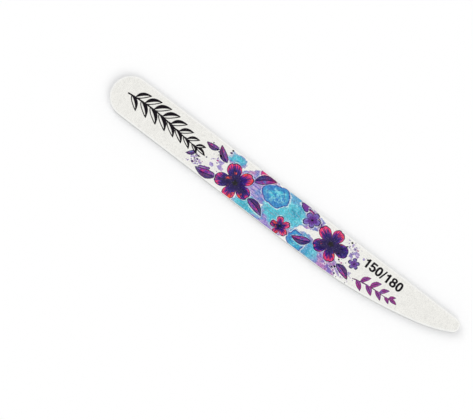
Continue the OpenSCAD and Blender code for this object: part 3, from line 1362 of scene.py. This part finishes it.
class NAILFILE_OT_glue(bpy.types.Operator):
    """Build the four adhesive films"""

    bl_idname = "nail_file.glue"
    bl_label = "Adhesive Films"
    bl_options = {"REGISTER", "UNDO"}

    def execute(self, context):
        step = 2 * context.scene.nail_file_edge.step
        marks = {"mark_depth": 0.05 * MM, "mark_width": 1.6 * MM, "mark_height": 1.6 * MM}
        for side in ("face", "core"):
            for grit in GRITS:
                add_layer(
                    f"{side}_adhesive_{grit}", f"{side}_film_{grit}", adhesive, "adhesive_film",
                    step, 12, corner=0.03 * MM, **marks,
                )
        return {"FINISHED"}


class NAILFILE_OT_foam(bpy.types.Operator):
    """Build the two foam pads with their opened cells"""

    bl_idname = "nail_file.foam"
    bl_label = "Foam Pads"
    bl_options = {"REGISTER", "UNDO"}

    def execute(self, context):
        sizes = context.scene.nail_file_edge
        marks = {"mark_depth": 0.02 * MM, "mark_width": 0.9 * MM, "mark_height": 0.9 * MM}
        cells = {"cell_depth": sizes.cell_depth, "cell_size": sizes.cell_size}
        for grit in GRITS:
            pad = add_layer(
                f"foam_cushion_{grit}", f"foam_pad_{grit}", cushion_foam, "foam",
                sizes.foam_step, 20, corner=0.02 * MM, hollow=sizes.foam_hollow, **marks, **cells,
            )
        return {"FINISHED"}


class NAILFILE_OT_paper(bpy.types.Operator):
    """Build the two backing papers"""

    bl_idname = "nail_file.paper"
    bl_label = "Backing Papers"
    bl_options = {"REGISTER", "UNDO"}

    def execute(self, context):
        step = context.scene.nail_file_edge.step
        marks = {"mark_depth": 0.018 * MM, "mark_width": 0.5 * MM, "mark_height": 0.25 * MM}
        for grit in GRITS:
            add_layer(
                f"paper_sheet_{grit}", f"backing_paper_{grit}", fibrous_paper, "backing_paper",
                step, 14, corner=0.03 * MM, **marks,
            )
        return {"FINISHED"}


def add_sheet(grit, pitch, grain_width, finishes, marks=None):
    """Builds an abrasive coat, printed if marks are given, and the grains that stand out of it."""
    scene = bpy.context.scene
    edge, sizes = Edge(scene.nail_file_outline), scene.nail_file_grit
    node = f"grit_coat_{grit}"
    low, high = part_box(node)
    upper = low.z > CORE_HIGH.z
    sign = 1.0 if upper else -1.0
    proud = 0.3 * grain_width
    face_z, back_z = (high.z - proud, low.z) if upper else (low.z + proud, high.z)
    grid = sheet_grid(edge, (FILE_WIDTH - high.y + low.y) / 2, pitch)
    name = f"grit_surface_{grit}"
    sheet = new_object(name, sheet_mesh(name, grid, face_z, back_z, edge, scene.nail_file_edge))
    sheet_finish, grain_finish = (finished(finish) for finish in finishes)
    values = {
        "relief": sizes.relief,
        "bump_width": 0.34 * MM,
        "face_sign": sign,
        "material": sheet_finish,
    }
    run_tree(sheet, grit_relief, values)
    points = read(sheet.data.vertices, "co", width=3)
    rim = np.zeros_like(points)
    rim[:, 0] = edge.depth(points[:, :2]) / MM
    store(sheet.data, "rim", rim)
    if marks:
        for kind, depths in marks(points).items():
            store(sheet.data, kind, depths)
    grains = new_object(f"grit_grains_{grit}", sheet.data.copy())
    values = {
        "grains_per_area": sizes.grains / ((high.x - low.x) * (high.y - low.y)),
        "grain_width": grain_width,
        "sink": 0.2 * grain_width,
        "face_sign": sign,
        "seed": sizes.seed,
        "material": grain_finish,
    }
    run_tree(grains, abrasive_grains, values)
    points = read(grains.data.vertices, "co", width=3)
    points[:, 2] = np.clip(points[:, 2], CAD_BOX[0][2], CAD_BOX[1][2])
    grains.data.vertices.foreach_set("co", points.ravel())
    for piece in (sheet, grains):
        fold_map(piece.data)
        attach(piece, BODY)
    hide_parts(node)


class NAILFILE_OT_printed_sheet(bpy.types.Operator):
    """Build the printed 150 grit coat and its grains"""

    bl_idname = "nail_file.printed_sheet"
    bl_label = "Printed Coat"
    bl_options = {"REGISTER", "UNDO"}

    def execute(self, context):
        grit = context.scene.nail_file_grit
        finishes = (printed_coat, printed_grains)
        add_sheet("150", grit.pitch, grit.grain_150, finishes, print_marks)
        return {"FINISHED"}


class NAILFILE_OT_plain_sheet(bpy.types.Operator):
    """Build the plain 180 grit coat and its grains"""

    bl_idname = "nail_file.plain_sheet"
    bl_label = "Plain Coat"
    bl_options = {"REGISTER", "UNDO"}

    def execute(self, context):
        grit = context.scene.nail_file_grit
        finishes = (plain_coat, plain_grains)
        add_sheet("180", grit.plain_pitch, grit.grain_180, finishes)
        return {"FINISHED"}


def seen_by_lens(tree):
    """1 for a ray from the camera, or one mirrored or let through on its way from it."""
    paths = tree.nodes.new("ShaderNodeLightPath")
    names = ("Is Camera Ray", "Is Glossy Ray", "Is Transmission Ray")
    straight, mirrored, through = (Term(tree, paths.outputs[name]) for name in names)
    return straight.math("MAXIMUM", mirrored).math("MAXIMUM", through)


def add_floor(size):
    """A plain white floor under the file."""
    half = size / 2
    mesh = bpy.data.meshes.new("floor")
    corners = [(-half, -half, 0), (half, -half, 0), (half, half, 0), (-half, half, 0)]
    mesh.from_pydata(corners, [], [(0, 1, 2, 3)])
    mesh.materials.append(finished(floor_paint))
    new_object("floor", mesh)


def add_world(strength):
    """Even white light, and plain white wherever the camera sees past the floor."""
    world = bpy.data.worlds.new("studio")
    world.use_nodes = True
    tree = world.node_tree
    tree.nodes.clear()
    background = tree.nodes.new("ShaderNodeBackground")
    feed(tree, background.inputs["Color"], (1.0, 1.0, 1.0, 1.0))
    feed(tree, background.inputs["Strength"], seen_by_lens(tree) * (1 - strength) + strength)
    output = tree.nodes.new("ShaderNodeOutputWorld")
    tree.links.new(background.outputs[0], output.inputs["Surface"])
    bpy.context.scene.world = world


def add_lamp(name, share, bearing, stage):
    """A soft lamp that gives the floor this share of its light, from this bearing."""
    data = bpy.data.lights.new(name, "SUN")
    data.energy = share * math.pi / math.cos(stage.lamp_tilt)
    data.angle = stage.lamp_spread
    lamp = new_object(name, data)
    lamp.rotation_euler = (stage.lamp_tilt, 0, bearing + math.pi / 2)


def add_camera(stage):
    """A camera that looks down at the file, turned and placed as the picture was taken."""
    data = bpy.data.cameras.new("camera")
    data.sensor_width = 36.0
    data.lens = data.sensor_width * stage.distance / stage.seen_width
    data.clip_start = 0.01
    camera = new_object("camera", data)
    right = (math.cos(stage.turn), math.sin(stage.turn))
    up = (-right[1], right[0])
    back = stage.shift_up - stage.distance * math.sin(stage.lean)
    place = [stage.shift_right * right[axis] + back * up[axis] for axis in (0, 1)]
    camera.location = (*place, FILE_TOP + stage.distance * math.cos(stage.lean))
    camera.rotation_euler = (stage.lean, 0, stage.turn)
    bpy.context.scene.camera = camera


class NAILFILE_OT_stage(bpy.types.Operator):
    """Set up the floor, the light and the camera"""

    bl_idname = "nail_file.stage"
    bl_label = "Stage"
    bl_options = {"REGISTER", "UNDO"}

    def execute(self, context):
        stage = context.scene.nail_file_stage
        add_floor(stage.floor)
        add_world(stage.world_light)
        bearing = stage.turn + stage.lamp_bearing
        add_lamp("near_lamp", stage.near_light, bearing, stage)
        add_lamp("far_lamp", stage.far_light, bearing + math.pi, stage)
        add_camera(stage)
        context.scene.view_settings.view_transform = "Standard"
        return {"FINISHED"}


class NAILFILE_PT_panel(bpy.types.Panel):
    """The steps that build the nail file, with the sizes and colours that they use"""

    bl_idname = "NAILFILE_PT_panel"
    bl_label = "Nail File"
    bl_space_type = "VIEW_3D"
    bl_region_type = "UI"
    bl_category = "Nail File"

    def draw(self, context):
        for step in STEPS:
            self.layout.operator(step.bl_idname)
        for name, group in GROUPS.items():
            box = self.layout.box()
            for key in group.__annotations__:
                box.prop(getattr(context.scene, name), key)


GROUPS = {
    "nail_file_outline": OutlineSizes,
    "nail_file_edge": EdgeSizes,
    "nail_file_grit": GritSizes,
    "nail_file_inks": Inks,
    "nail_file_stage": StageSizes,
}
STEPS = [
    NAILFILE_OT_core,
    NAILFILE_OT_glue,
    NAILFILE_OT_foam,
    NAILFILE_OT_paper,
    NAILFILE_OT_printed_sheet,
    NAILFILE_OT_plain_sheet,
    NAILFILE_OT_stage,
]


def register():
    for kind in (*GROUPS.values(), *STEPS, NAILFILE_PT_panel):
        bpy.utils.register_class(kind)
    for name, group in GROUPS.items():
        setattr(bpy.types.Scene, name, PointerProperty(type=group))


def unregister():
    for name in GROUPS:
        delattr(bpy.types.Scene, name)
    for kind in reversed((*GROUPS.values(), *STEPS, NAILFILE_PT_panel)):
        bpy.utils.unregister_class(kind)


def main():
    """Builds every piece and the stage."""
    register()
    for step in STEPS:
        family, name = step.bl_idname.split(".")
        getattr(getattr(bpy.ops, family), name)()


if __name__ == "__main__":
    main()
